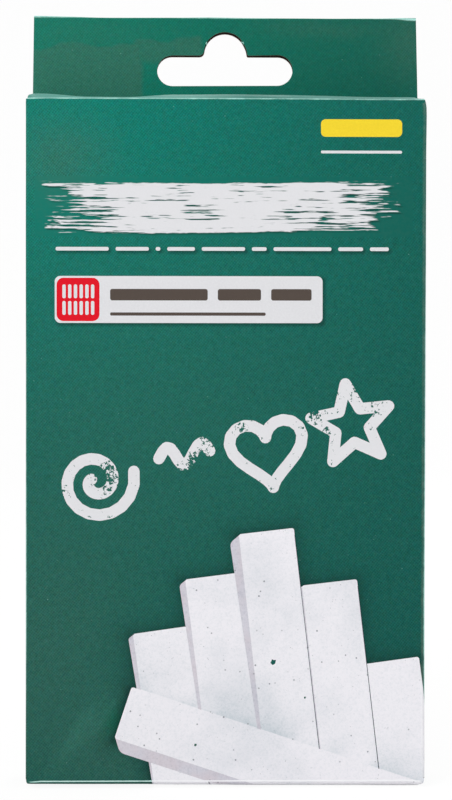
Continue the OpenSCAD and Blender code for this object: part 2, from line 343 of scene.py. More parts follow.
def greenInkAndPaintedLight(tree, front):
    # painted light: lightest at the upper left and darker away from it, with grey cloudy patches, partly a
    # painted reflection haze, and painted sheen streaks
    x, y, z = tree.axes()
    left, high, reach = field["light"]
    across, up = (x - left) / reach, (z - high) / reach
    light = field["paintedLightGain"] / (across * across + up * up + 1) + (1 - field["paintedLightGain"])
    base = tree.mix(light, "greenShadedFar", "greenLitCorner")
    onTab = z.ramp(*field["tabFrom"]) * y.ramp(*field["tabFront"]) * y.ramp(*field["tabRear"])
    tone = tree.mix(z.ramp(*field["tabFootTo"]), field["tabTone"], field["tabFoot"])
    base = tree.mix(onTab, base, tree.mix(1.0, base, tone, "MULTIPLY"))
    drift = (tree.noise(9, 2, 0.5, 6.1) - 0.5) * field["drift"]
    grey = tree.noise(0.7, 2, 0.6, 2.9).ramp(0.38, 0.7) * field["haze"]
    # grey patches on the print, partly a painted reflection haze
    for patch in field["patches"]:
        grey = spot(x + drift, z - drift * 0.5, patch) + grey
    aside, above = field["veilDrift"]
    across, up = x + drift * aside, z - drift * above
    for *edges, share in field["veils"]:
        left, right, low, high = (value.over(edge, soft) for value, edge, soft
                                  in zip((across, across, up, up), edges, field["veilSoft"]))
        grey = (left * right * low * high * onTab * share).atLeast(grey)
    base = tree.mix(grey.atMost(field["greyMost"]), base, "greenGrey")
    if not front:
        return base
    # painted sheen: reflection streaks painted onto the front near its lower left
    for place in field["sheen"]:
        base = tree.mix(spot(x + drift * 0.2, z, place, field["sheenTurn"]), base, "greenSheen")
    base = tree.mix(spot(x, z, field["fresh"]), base, "greenFresh")
    kept, shade = 1.0, art["shade"]
    shift, reach, depth = shade["sticks"]
    for stick in sticks:
        kept = (1 - awayFrom(tree, stick, shift)[0].fade(reach) * depth) * kept
    for left, right, low, high in [art["label"][:4]] + dashBoxes():
        dx = (past(x - shade["right"], left, right) + shade["corner"]).atLeast(0)
        dz = (past(z + shade["down"], low, high) + shade["corner"]).atLeast(0)
        under = (far(dx, dz) - shade["corner"]).ramp(shade["soft"] * 2, -shade["soft"])
        kept = (1 - under * shade["depth"]) * kept
    return tree.mix((1 - kept) * y.ramp(*field["frontOnly"]), base, "greenShade")


def inkTexture(tree):
    # the printed screen and the ink's unevenness, as a colour to multiply with
    x, y, z = tree.axes()
    across, up = turned(x + y, z + y, field["screenTurn"])  # the screen goes on round the folds
    across, up = across / field["screenPitch"], up / field["screenPitch"]
    first, second = field["screenDepth"]
    dots = across.sine() * first + up.sine() * second
    grain = (tree.noise(0.36, 2, 0.65, 1.7) - 0.5) * field["grain"]
    cloud = (tree.noise(1.1, 2, 0.6, 8.8) - 0.5) * field["cloud"]
    tint = tree.noise(0.62, 1, 0.5, 4.1, output=1)
    parts = tree.add("ShaderNodeSeparateColor", [tint]).socket.node
    amount = 1 - z.ramp(*field["tabFrom"]) * (1 - field["tabTexture"])
    channels = [((Wire(tree, part) - 0.5) * share + dots + grain + cloud) * amount + 1
                for part, share in zip(parts.outputs, field["tint"])]
    return tree.add("ShaderNodeCombineColor", channels)


rubbingAndHighlight = {
    # the wear at which the print breaks up, pale board shows and the fold turns white; the white is partly
    # a painted highlight on the fold
    "breaks": (0.15, 0.95), "pale": (0.25, 0.6), "white": (1.1, 1.5), "whiteShare": 0.7,
    "rough": 0.3, "inkRough": 0.36,  # what wear adds to the roughness, and the roughness of ink
}


def wornAndHighlighted(tree, base, pale="rubbedAndHighlightWhite"):
    # bare board shows where the print has rubbed and cracked along a fold, and the strongest marks turn
    # white, partly as a painted highlight
    wearAndHighlight = tree.attribute("wearAndHighlight")
    crackle = tree.noise(1.5, 3, 0.65, 5.5)
    fibres = tree.noise(0.22, 2, 0.6, 2.2)
    wornAndLit = (wearAndHighlight * (crackle * 1.1 + fibres * 0.7)).ramp(*rubbingAndHighlight["breaks"])
    core = "boardCore" if pale == "paleBoardAndSheen" else pale
    bareAndHighlight = tree.mix(wearAndHighlight.ramp(*rubbingAndHighlight["pale"]), core, pale)
    bareAndHighlight = tree.mix(wearAndHighlight.ramp(*rubbingAndHighlight["white"]) * rubbingAndHighlight["whiteShare"], bareAndHighlight, "rubbedAndHighlightWhite")
    return tree.mix(wornAndLit, base, bareAndHighlight), wornAndLit


def boardBump(tree):
    swell = tree.bump(tree.noise(26, 2, 0.4, 9.0), 0.05, 0.6)
    return tree.bump(tree.noise(0.5, 3, 0.6, 4.0), 0.004, 0.5, swell)


def printedGreenAndPaintedLight(front):
    def build(tree):
        base = tree.mix(1.0, greenInkAndPaintedLight(tree, front), inkTexture(tree), "MULTIPLY")
        dust = tree.noise(0.42, 1, 0.5, 6.6).ramp(0.775, 0.8) * 0.3
        colour, wornAndLit = wornAndHighlighted(tree, tree.mix(dust, base, "paleBoardAndSheen"), "paleBoardAndSheen")
        rough = tree.noise(9, 2, 0.5, 7.0) * 0.1 + 0.3
        x, y, z = tree.axes()
        # painted sheen: a pale share mixed into the lid's colour along its front, standing in for the
        # coat's reflection; the coat and roughness are real
        onLid = z.ramp(*lidCoatAndPaintedSheen["from"]) * y.ramp(*lidCoatAndPaintedSheen["rear"])
        streaks = tree.noise(2.6, 2, 0.6, 3.4, tree.place((0.08, 1, 1))).ramp(0.3, 0.7)
        middle, spread, depth = lidCoatAndPaintedSheen["dull"]
        dull = ((x - middle) * (x - middle) / spread).fade(1) * depth
        share = streaks * lidCoatAndPaintedSheen["streaks"] + x * lidCoatAndPaintedSheen["tilt"] + lidCoatAndPaintedSheen["share"] - dull
        share = share * y.ramp(*lidCoatAndPaintedSheen["front"]) * x.ramp(*lidCoatAndPaintedSheen["left"])
        rough = rough + wornAndLit * rubbingAndHighlight["rough"] + onLid * lidCoatAndPaintedSheen["rough"]
        return (tree.mix(onLid * share, colour, "paleBoardAndSheen"), rough, boardBump(tree),
                {"Coat Weight": onLid * lidCoatAndPaintedSheen["coat"], "Coat Roughness": lidCoatAndPaintedSheen["coatRough"]})
    return build


def mottled(tree, ink, share=1.0):
    mottle = (tree.noise(0.42, 2, 0.6, 1.1) - 0.25).atLeast(0) * share
    return tree.mix(mottle, ink, toned(inks[ink], 0.86))


def rubbedAndHighlightedPrint(tree, base):
    colour, wornAndLit = wornAndHighlighted(tree, base)
    return colour, wornAndLit * rubbingAndHighlight["rough"] + rubbingAndHighlight["inkRough"], boardBump(tree)


def flatInk(ink):
    return lambda tree: rubbedAndHighlightedPrint(tree, mottled(tree, ink))


def brokenInk(tree, gaps, shade=0.0):
    # white that lets the green show through its gaps
    green = tree.mix(shade, greenInkAndPaintedLight(tree, False), "greenShade")
    colour = tree.mix(gaps, mottled(tree, "white", 0.5), green)
    return colour, rubbingAndHighlight["inkRough"], boardBump(tree)


def chalkLine(tree):
    # clean strokes with clusters of small nicks
    nicks = tree.noise(0.8, 3, 0.75, 3.9)
    patch = tree.noise(7.5, 2, 0.5, 4.4).ramp(0.42, 0.68)
    return brokenInk(tree, (nicks + patch * 0.2).ramp(0.665, 0.68))


swipe = {
    "wave": (0.055, 0.35),  # how fast and how far a pass sways
    "ragged": 0.5, "endRagged": 2.2, "endReach": 7,
    "dry": 0.61, "dryPatch": 0.35, "dryEnds": 0.13, "dryEdge": 0.05,
}


def swipeCover(tree, right=0.0, down=0.0, soft=1.0):
    # broad dry passes, streaked along their length and ragged at both ends
    x, y, z = tree.axes()
    x, z = x - right, z + down
    moved = (-right * mm, 0, down * mm)
    lines = tree.noise(0.5, 3, 0.6, 2.8, tree.place((0.045, 1, 1), moved=moved))
    ragged = tree.noise(1.6, 3, 0.65, 7.7, tree.place((0.3, 1, 1), moved=moved)) - 0.5
    patch = tree.noise(6.5, 2, 0.5, 6.0) - 0.5
    rate, sway = swipe["wave"]
    covered = 0.0
    for start, end, middle, half in art["swipes"]:
        wave = (x * rate + start).sine() * sway + middle
        across = 1 - (z - wave).size() / half + ragged * swipe["ragged"]
        ends = past(x, start, end) / swipe["endReach"] + ragged * swipe["endRagged"]
        inside = across.ramp(-0.05 * (soft - 1), 0.1 * soft) * ends.ramp(0.1 * soft, -0.1)
        dry = lines + patch * swipe["dryPatch"] + ends.ramp(-2.5, 0.2) * swipe["dryEnds"]
        dry = dry + (1 - across).ramp(0.2, 1) * swipe["dryEdge"]
        covered = (inside * dry.over(swipe["dry"], -0.02 * soft)).atLeast(covered)
    return covered


def chalkSwipe(tree):
    shade = art["shade"]
    under = swipeCover(tree, shade["right"], shade["down"], 2.5) * shade["depth"]
    return brokenInk(tree, 1 - swipeCover(tree), under)


pictured = {
    "smudge": 0.3, "faceDust": 0.3, "sideDust": 0.6, "warm": 0.35,
    "shade": (3.2, 0.8),  # reach and depth of the shade beside the stick that lies over
    "pores": (2.1, 0.12, 0.06), "small": (0.9, 0.13, 0.07),  # period, and where a pore begins and ends
    "smallShare": 0.7, "poreShare": 0.75,
}


def picturedStick(face):
    # the printed picture of chalk: specks, smudges and a soft shade where another stick lies over
    part = "Face" if face else "Side"

    def build(tree):
        p = pictured
        smudge = tree.noise(15, 3, 0.5, 5.0).ramp(0.45, 0.72) * p["smudge"]
        dust = tree.noise(0.45, 3, 0.7, 5.2).ramp(0.4, 0.75) * p["faceDust" if face else "sideDust"]
        base = tree.mix(smudge + dust, "stick" + part, "cool" + part)
        if face:
            gap, above = awayFrom(tree, sticks[-1])
            reach, depth = p["shade"]
            patchy = tree.noise(9, 1, 0.5, 1.3).ramp(0.2, 0.7) * (0.75 + dust * 1.6)
            share = gap.fade(reach) * above.ramp(0.0, 0.25) * patchy * depth
            base = tree.mix(share, base, "stickShade")
        else:
            warm = tree.noise(5, 2, 0.5, 8.1).ramp(0.4, 0.7) * p["warm"]
            base = tree.mix(warm, base, "warmSide")
        pores, small = (tree.cells(period).ramp(*edge) for period, *edge in (p["pores"], p["small"]))
        pores = pores * tree.noise(6, 2, 0.5, 9.9).ramp(0.44, 0.56)
        small = small * tree.noise(3, 2, 0.5, 4.9).ramp(0.5, 0.6)
        pores = pores.atLeast(small * p["smallShare"]) * p["poreShare"]
        return rubbedAndHighlightedPrint(tree, tree.mix(pores, base, "stickPore"))
    return build


def rawBoard(tone):
    # recycled board: grey-brown, with darker and paler fibres and flecks
    def build(tree):
        fibres = tree.noise(0.3, 3, 0.7, 2.0, tree.place((1, 1, 0.35), (0.3, 0.2, 0.4)))
        base = tree.mix(fibres.ramp(0.35, 0.65), toned(inks[tone], 0.62), toned(inks[tone], 1.25))
        base = tree.mix(tree.noise(3.2, 3, 0.6, 3.0).ramp(0.3, 0.7) * 0.5, base, tone)
        flecks = tree.noise(0.55, 1, 0.5, 8.0).ramp(0.7, 0.74)
        colour = tree.mix(flecks * 0.6, base, "edgeDark")
        return colour, fibres * 0.1 + 0.84, tree.bump(fibres, 0.03, 0.7)
    return build


def chalkSurface(tree):
    # pressed chalk: fine pores, a few larger pits, dusty smears along the stick
    pores = tree.noise(0.28, 3, 0.7, 1.0)
    pits = tree.cells(1.9).ramp(0.16, 0.07) * tree.noise(5, 2, 0.5, 2.0).ramp(0.48, 0.6)
    smear = tree.noise(2.4, 3, 0.6, 3.0, tree.place((0.12, 1, 1)))
    base = tree.mix(smear.ramp(0.3, 0.7) * 0.5, "chalk", "chalkSmear")
    base = tree.mix(pits * 0.7, base, "chalkPit")
    colour = tree.mix(tree.attribute("chip") * 0.4, base, "chalkChip")
    return colour, pores * 0.08 + 0.9, tree.bump(pores * 0.5 - pits, 0.08, 0.8)


paints = {
    "frontGreen": finish("printed green front with painted light", printedGreenAndPaintedLight(True)),
    "green": finish("printed green board with painted light", printedGreenAndPaintedLight(False)),
    "inside": finish("grey board inside", rawBoard("boardInside"), matt),
    "cutEdge": finish("cut board edge", rawBoard("boardCore"), matt),
    # painted shade: the tab layers' touching inner faces are dark where the slot shows the gap between
    # them
    "slotGapShade": finish("painted shade between tab layers", rawBoard("edgeDark"), matt),
    "chalkLine": finish("chalk line print", chalkLine),
    "chalkSwipe": finish("chalk swipe print", chalkSwipe),
    "stickFace": finish("pictured stick face", picturedStick(True)),
    "stickSide": finish("pictured stick side", picturedStick(False)),
}
for ink, name in (("white", "white"), ("red", "red"), ("yellow", "yellow"),
                  ("greyBrown", "grey brown"), ("stickGap", "dark gap")):
    paints[ink] = finish(name + " print", flatInk(ink))
paintOrder = list(paints)
chalkFinish = finish("pressed chalk", chalkSurface, matt)
print("finishes made:", len(paints) + 1)


# folded board

class FoldPath:
    # a line on the printed side of the board, made of flats and folds; side 1 has the print on
    # its right, and -1 on its left
    def __init__(self, start, heading, parts, side=1):
        self.parts, self.rows, self.side = [], [0.0], side
        at, along, s = Vector(start), Vector(heading), 0.0
        for part in parts:
            if isinstance(part, tuple):
                angle, radius = math.radians(part[0]), part[1]
                centre = at - self.out(along) * radius
                self.parts.append((s, angle * radius, at, along, centre, radius))
                self.rows += spaced(s, s + angle * radius, angle * radius / max(4, round(part[0] / 15)))
                turn = Matrix.Rotation(angle * side, 2)
                at, along = centre + turn @ (at - centre), turn @ along
                s += angle * radius
            else:
                self.parts.append((s, part, at, along, None, 0))
                at = at + along * part
                s += part
            self.rows.append(s)
        self.length = s

    def out(self, along):
        return Vector((along.y, -along.x)) * self.side

    def at(self, s, depth=0.0):
        begin, length, at, along, centre, radius = next(
            (part for part in self.parts if s <= part[0] + part[1] + 1e-9), self.parts[-1])
        if centre is None:
            return at + along * (s - begin) - self.out(along) * depth
        turn = Matrix.Rotation((s - begin) / radius * self.side, 2)
        return centre + (turn @ (at - centre)) * ((radius - depth) / radius)


def spaced(start, end, step):
    count = max(1, math.ceil(abs(end - start) / step - 1e-6))
    return [start + (end - start) * i / count for i in range(count + 1)]


def closed(points):
    # anticlockwise, with no point twice
    loop = [p for i, p in enumerate(points) if math.dist(p, points[i - 1]) > 1e-4]
    area = sum(a[0] * b[1] - b[0] * a[1] for a, b in zip(loop, loop[1:] + loop[:1]))
    return loop if area > 0 else loop[::-1]


def mirrored(points, about=0.0):
    # a half outline and its mirror image, as (along, across)
    return points + [(s, about - t) for s, t in points[::-1]]


def smooth(value):
    f = max(0.0, min(1.0, value))
    return f * f * (3 - 2 * f)


def peak(distance, reach):
    # 1 at nothing, falling evenly to 0 at reach
    return max(0, 1 - abs(distance) / reach)


def bend(a, middle, b, count=7):
    return [a * (1 - f) ** 2 + middle * 2 * f * (1 - f) + b * f * f for f in spaced(0, 1, 1 / (count - 1))]


def through(knots, at):
    # smooth line through (place, value) pairs, level beyond both ends
    if not knots[0][0] < at < knots[-1][0]:
        return knots[0][1] if at <= knots[0][0] else knots[-1][1]
    (a, low), (b, high) = next(pair for pair in zip(knots, knots[1:]) if at <= pair[1][0])
    return low + (high - low) * smooth((at - a) / (b - a))


def layBoard(bm, where, outline, rows=(), shapes=(), ground="green", holes=(), joined=None,
             step=3.0, wearAndHighlight=None, thick=board, behind="inside"):
    # one stretch of board: outline, holes and printed shapes are in its own flat plane, where(s, t,
    # depth) folds it; shapes are (paint, polygon) in the order in which they are laid on
    outline = closed(outline)
    rim = [(a[0] + (b[0] - a[0]) * f, a[1] + (b[1] - a[1]) * f)
           for a, b in zip(outline, outline[1:] + outline[:1])
           for f in spaced(0, 1, step / math.dist(a, b))[:-1]]
    points, edges, loops = [], [], []
    for loop in [rim, *holes, *(polygon for _, polygon in shapes)]:
        loops.append(list(range(len(points), len(points) + len(closed(loop)))))
        points += [Vector(p) for p in closed(loop)]
    lowS, highS = min(p[0] for p in outline), max(p[0] for p in outline)
    lowT, highT = min(p[1] for p in outline), max(p[1] for p in outline)
    lines = sorted({round(s, 5) for s in rows if lowS <= s <= highS})
    for s in lines:
        first = len(points)
        points += [Vector((s, t)) for t in spaced(lowT, highT, step)]
        edges += [(i, i + 1) for i in range(first, len(points) - 1)]
    for s in spaced(lowS, highS, step)[1:-1]:
        if all(abs(s - line) > step * 0.4 for line in lines):
            points += [Vector((s, t)) for t in spaced(lowT, highT, step)[1:-1]]
    corners, _, faces, _, _, origin = delaunay_2d_cdt(points, edges, loops, 0, 1e-5, True)
    kept = []
    for face, inside in zip(faces, origin):
        if 0 in inside and not any(1 <= f <= len(holes) for f in inside):
            printed = [f for f in inside if f > len(holes)]
            kept.append((face, shapes[max(printed) - 1 - len(holes)][0] if printed else ground))
    used = sorted({v for face, _ in kept for v in face})
    outer = {v: bm.verts.new(where(*corners[v], 0) * mm) for v in used}
    inner = {v: bm.verts.new(where(*corners[v], thick) * mm) for v in used}
    a, b, c = (where(*corners[v], 0) for v in kept[0][0][:3])
    flip = (b - a).cross(c - a).dot(a - where(*corners[kept[0][0][0]], thick)) < 0
    turn = -1 if flip else 1
    sides = {}
    for face, paint in kept:
        wornAndLit = [wearAndHighlight(*corners[v]) for v in face[::turn]] if wearAndHighlight else None
        addFace(bm, [outer[v] for v in face[::turn]], paint, wornAndLit)
        addFace(bm, [inner[v] for v in face[::-turn]], behind)
        for i, j in zip(face, face[1:] + face[:1]):
            sides.setdefault((min(i, j), max(i, j)), []).append((i, j))
    for (i, j), *others in sides.values():
        if not (others or (joined and joined(*(corners[i] + corners[j]) / 2))):
            addFace(bm, [outer[i], inner[i], inner[j], outer[j]][::turn], "cutEdge")


def addFace(bm, verts, paint, wearAndHighlight=None):
    # holds one value per vertex: wear, and along some folds a painted highlight
    face = bm.faces.new(verts)
    face.material_index, face.smooth = paintOrder.index(paint), True
    layer = bm.loops.layers.float.get("wearAndHighlight") or bm.loops.layers.float.new("wearAndHighlight")
    for loop, wornAndLit in zip(face.loops, wearAndHighlight or ()):
        loop[layer] = wornAndLit


def meshOf(name, bm):
    mesh = bpy.data.meshes.new(name)
    bm.to_mesh(mesh)
    bm.free()
    return mesh


def newObject(name, data):
    made = bpy.data.objects.new(name, data)
    bpy.context.scene.collection.objects.link(made)
    return made


def newPiece(name, bm, body, *stands):
    bmesh.ops.remove_doubles(bm, verts=bm.verts[:], dist=1e-6)
    mesh = meshOf(name, bm)
    piece = newObject(name, mesh)
    for paint in paints.values():
        mesh.materials.append(paint)
    mesh.set_sharp_from_angle(angle=math.radians(35))
    if body:
        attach(piece, body)
    if stands:
        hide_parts(*stands)
    return piece


# front print

def arcPoints(cx, cy, radius, begin, sweep=0.0, count=1):
    # angles in degrees
    turns = [math.radians(begin + sweep * i / count) for i in range(count + 1)]
    return [(cx + radius * math.cos(a), cy + radius * math.sin(a)) for a in turns]


def roundedBox(left, right, low, high, corner, count=6):
    quarters = ((right - corner, low + corner, -90), (right - corner, high - corner, 0),
                (left + corner, high - corner, 90), (left + corner, low + corner, 180))
    return [p for cx, cy, begin in quarters for p in arcPoints(cx, cy, corner, begin, 90, count)]


def bar(left, right, low, high):
    corner = min(art["barCorner"], (high - low) * 0.4, (right - left) * 0.4)
    return roundedBox(left, right, low, high, corner, 3)


def stroke(points, width, count=6):
    # a round-ended line as short overlapping lengths
    lengths = []
    for (ax, ay), (bx, by) in zip(points, points[1:]):
        turn = math.degrees(math.atan2(by - ay, bx - ax))
        lengths.append(arcPoints(bx, by, width / 2, turn - 90, 180, count)
                       + arcPoints(ax, ay, width / 2, turn + 90, 180, count))
    return lengths


def chalkDrawings():
    # a curl, a ripple, a heart and a star, in a rising line
    c, r, h, s = (art[name] for name in ("curl", "ripple", "heart", "star"))
    curl = [arcPoints(*c["middle"], c["inner"] + c["growth"] * i, c["begin"] + c["turn"] * i)[0]
            for i in range(31)]
    ripple = [(r["start"][0] + r["step"][0] * i,
               r["start"][1] + r["step"][1] * i + r["height"] * math.sin(i * r["turn"]))
              for i in range(14)]
    heart = []
    for i in range(31):
        a = tau * i / 30 + h["begin"]
        x = h["half"] * math.sin(a) ** 3
        z = sum(wave * math.cos(k * a) for k, wave in enumerate(h["waves"], 1))
        heart.append((h["middle"][0] + x - z * h["lean"], h["middle"][1] + z + x * h["lean"]))
    star = [arcPoints(*s["middle"], s["radii"][i % 2], s["begin"] + 36 * i)[0] for i in range(11)]
    return [part for line in (curl, ripple, heart, star) for part in stroke(line, art["lineWidth"])]


def stickShapes(stick):
    # a pictured stick's dark line and side and, over them, its face
    foot, along, across, length = stickAxes(stick)
    half, corner = stick["width"] * art["stickWidth"] / 2, art["stickCorner"]
    head = foot + along * length
    turn = math.degrees(math.atan2(along.y, along.x)) - 90
    right, left = (head - along * corner + across * (half - corner) * side for side in (1, -1))
    face = [foot + across * half, *arcPoints(*right, corner, turn, 90, 4),
            *arcPoints(*left, corner, turn + 90, 90, 4), foot - across * half]
    atFoot, atHead = stick["side"]
    start = left + (along - across) * corner * 0.7
    outer = head - across * (half + atHead) - along * atHead * art["sideSlant"]
    low = foot - across * (half + atFoot)
    share = min(0.45, art["sideCorner"] * atHead / (start - outer).length)
    side = [foot, head - along * corner, start]
    side += bend(start + (outer - start) * (1 - share), outer,
                 outer + (low - outer).normalized() * art["sideCorner"] * atHead, 5)
    shapes = [("stickSide", side + [low]), ("stickFace", face)]
    if stick["gap"]:
        edge = head + across * half - along * corner * 3
        shapes.append(("stickGap", [foot + across * (half + stick["gap"]), edge + across * 0.06,
                                    edge - across * 0.06, foot + across * half]))
    return shapes


def speck(x, z, radius):
    return [(x + radius * (1 + 0.3 * math.sin(3.1 * i + x)) * math.cos(i * tau / 9),
             z + radius * (1 + 0.3 * math.sin(2.3 * i)) * math.sin(i * tau / 9)) for i in range(9)]


def frontPrint():
    a, b = art, art["badgeBars"]
    low, high = min(s[2] - s[3] for s in a["swipes"]) - 1, max(s[2] + s[3] for s in a["swipes"]) + 1
    left, right = a["swipeField"]
    out = [("yellow", roundedBox(*a["corner"])), ("white", bar(*a["cornerLine"])),
           ("chalkSwipe", [(left, low), (right, low), (right, high), (left, high)])]
    out += [("white", bar(*box)) for box in dashBoxes()]
    out += [("white", roundedBox(*a["label"])), ("red", roundedBox(*a["badge"]))]
    for row in range(b["rows"]):
        for column in range(b["columns"]):
            x = a["badge"][0] + b["left"] + b["pitch"] * column
            z = a["badge"][2] + b["low"] + b["rise"] * row
            out.append(("white", bar(x, x + b["width"], z, z + b["height"])))
    out += [("greyBrown", bar(*size)) for size in a["labelBars"]]
    out += [("chalkLine", part) for part in chalkDrawings()]
    out += [shape for stick in sticks for shape in stickShapes(stick)]
    return out + [("green", speck(*place)) for place in a["specks"]]


def printOn(place):
    # the front print with its points moved by place(u, v)
    return [(paint, [place(u, v) for u, v in loop]) for paint, loop in frontPrint()]


# carton walls

walls = {
    "seamInset": 0.5,  # the left side panel's cut edge stays this far from the back
    "glueFlap": 10.0, "glueInset": 1.5, "glueCutback": 4.0,
    "besideFold": 2.2,  # the front piece ends this far beyond its corner folds
    "ear": (0.28, 0.8, 0.6),  # small ears beside the lid's fold: from, to, height
    # how far the carton's sides stand out, by height
    "left": [(0, 0.17), (10, 0.16), (20, 0.13), (45, 0.1), (95, 0.04), (120, 0.04), (140, 0)],
    "right": [(5, 0.06), (18, 0.0), (40, -0.03), (51, 0.0), (73, 0.05), (95, 0.08), (116, 0.11),
              (138, 0.12), (146.5, 0.2), (148.2, 0.16), (150, -0.14)],
    "flatTo": 30,  # nearer to the middle than this, nothing stands out
    # how strongly the corner folds are rubbed, by height; the right one more widely
    "rubbed": [(0, 0.4), (12, 0.45), (40, 0.85), (85, 0.62), (128, 0.2), (144, 0.22), (150, 0.05)],
    "rubbedReach": 0.62, "rubbedShift": 0.22, "rubbedRight": 0.3,
    "faded": (0.37, 1.5, 0.8),  # round the right fold: strength, reach, softness
}
seamEdge = backY - walls["seamInset"]
upright = (90, folds["upright"])
straight = backY - frontY - 2 * folds["upright"]
tube = FoldPath((-sideX, seamEdge), (0, -1), [
    seamEdge - frontY - folds["upright"], upright, 2 * flatX, upright, straight, upright,
    2 * flatX - board, upright, walls["glueFlap"] - folds["upright"]])
frontMiddle = tube.parts[2][0] + flatX
cutBeside = flatX + uprightArc + walls["besideFold"]
backFold = tube.parts[7][0]


def pushed(p):
    near = max(0, (abs(p.x) - walls["flatTo"]) / (sideX - walls["flatTo"])) ** 2
    out = through(walls["right"], p.z) if p.x > 0 else -through(walls["left"], p.z)
    return Vector((p.x + out * near, p.y, p.z))


def wallAt(s, t, depth):
    p = tube.at(s, depth)
    return pushed(Vector((p.x, p.y, t)))


def wallWear(s, t):
    # on the side of each corner fold that is away from the front
    gap, right = 99, False
    for begin, length, _, _, centre, _ in tube.parts:
        beyond = begin > frontMiddle
        if centre is not None:
            shift = walls["rubbedShift"] * (1 if beyond else -1)
            gap, right = min((gap, right), (abs(s - begin - length / 2 - shift), beyond))
    strength, reach, soft = walls["faded"]
    faded = strength * smooth((reach - gap) / soft) if right else 0
    rubbed = through(walls["rubbed"], t) + walls["rubbedRight"] * right
    return max(faded, rubbed * peak(gap, walls["rubbedReach"]))


bm = bmesh.new()
earIn, earOut, earHigh = walls["ear"]
half = [(cutBeside, wallLow), (cutBeside, wallHigh), (flatX + earOut, wallHigh),
        (flatX + earOut - 0.1, wallHigh + earHigh), (flatX + earIn, wallHigh + earHigh),
        (flatX + earIn, wallHigh), (flatX, wallHigh), (flatX, stripTop)]
front = half + [(-u, t) for u, t in half[::-1]]
near = [s for s in tube.rows if abs(s - frontMiddle) < cutBeside]
near += [frontMiddle + side * (flatX + offset) for side in (-1, 1)
         for offset in (-0.9, -0.6, -0.3, uprightArc / 2 + walls["rubbedShift"])]
layBoard(bm, wallAt, [(frontMiddle + u, t) for u, t in front], near,
         printOn(lambda u, v: (frontMiddle + u, v)), "frontGreen", step=1.6, wearAndHighlight=wallWear,
         joined=lambda s, t: abs(abs(s - frontMiddle) - cutBeside) < 0.01
         or (abs(s - frontMiddle) < flatX and (t < wallLow + 0.01 or abs(t - stripTop) < 0.01)))

# the front panel's foot and the outer bottom flap
foot = {
    "slant": 14, "slope": 1.7, "settle": 2.0,  # the flap falls a little before it lies level
    "inset": 0.15, "shortBy": 4.4,
    "creaseDrop": 0.16,
    "line": 1.7, "lineReach": 0.24, "curl": 0.6, "curlFrom": 3.0,  # wear along the crease, its bright line partly a painted highlight
    # a paler band below the crease: painted light on the downward-facing fold
    "faded": 0.46, "fadedFrom": 0.5,
    # how far it hangs lower, by place along its width
    "sag": [(-42, -0.06), (-30, 0.0), (-20, 0.02), (-10, 0.12), (8, 0.28), (27, 0.33), (38, 0.42),
            (42, 0.38)],
}
slant, steep = math.radians(foot["slant"]), 90 - foot["slant"]
fall = (folds["bottom"] * math.cos(slant) + foot["slope"] * math.sin(slant)
        + foot["settle"] * (1 - math.cos(slant)))
footPath = FoldPath((frontY, wallLow), (0, -1), [
    wallLow - fall, (steep, folds["bottom"]), foot["slope"], (foot["slant"], foot["settle"]),
    backY - frontY - foot["shortBy"]])
footHalf = sideX - foot["inset"]
crease = wallLow - fall + foot["creaseDrop"]


def footAt(s, t, depth):
    p = footPath.at(s, depth)
    lower = wallLow - crease
    return pushed(Vector((t, p.x, p.y - through(foot["sag"], t) * smooth((lower - p.y) / lower))))


def footWearAndHighlight(s, t):
    # a thin bright line that curls down at its ends, partly wear and partly a painted highlight on the
    # crease, and a paler band below it, painted light on the downward-facing fold
    end = max(0, abs(t) - footHalf + foot["curlFrom"]) / foot["curlFrom"]
    line = foot["line"] * peak(s - crease - foot["curl"] * end ** 2, foot["lineReach"])
    # painted light: the band below the crease is made paler against its shading
    faded = foot["faded"] * smooth((s - crease - foot["fadedFrom"]) / 0.3)
    return smooth((footHalf - 0.3 - abs(t)) / 0.8) * max(line, faded)


layBoard(bm, footAt, mirrored([
    (0, footHalf), (crease, footHalf - 0.02), (crease + 0.5, footHalf - 0.15),
    (crease + 0.9, footHalf - 0.45), (crease + 1.2, footHalf - 1.0),
    (footPath.length, footHalf - 1.1)]),
    footPath.rows + [crease + offset for offset in (-0.24, -0.1, 0, 0.1, 0.24, 0.5, 0.8)],
    printOn(lambda u, v: (wallLow - v, u)), "frontGreen", step=1.6, wearAndHighlight=footWearAndHighlight,
    joined=lambda s, t: s < 0.01 and abs(t) < flatX)
newPiece("carton_front", bm, "carton", "carton")

# sides, back and glue flap
bm = bmesh.new()
leftEnd, rightStart = frontMiddle - cutBeside, frontMiddle + cutBeside
backEnd, flapEnd = backFold + uprightArc, tube.length
inset, cutback = walls["glueInset"], walls["glueCutback"]
glueLow, glueHigh = wallLow + inset, wallHigh - inset
layBoard(bm, wallAt, [(0, wallLow), (leftEnd, wallLow), (leftEnd, wallHigh), (0, wallHigh)],
         wearAndHighlight=wallWear, joined=lambda s, t: s > 0.01)
layBoard(bm, wallAt, [
    (rightStart, wallLow), (backFold, wallLow), (backFold, glueLow), (backEnd, glueLow),
    (flapEnd, glueLow + cutback), (flapEnd, glueHigh - cutback), (backEnd, glueHigh),
    (backFold, glueHigh), (backFold, wallHigh), (rightStart, wallHigh)],
    [s for s in tube.rows if s > rightStart + 0.1], wearAndHighlight=wallWear,
    joined=lambda s, t: s < rightStart + 0.01
    or (s < backFold - 0.02 and (t < wallLow + 0.01 or t > wallHigh - 0.01)))
newPiece("carton_sides", bm, "carton")

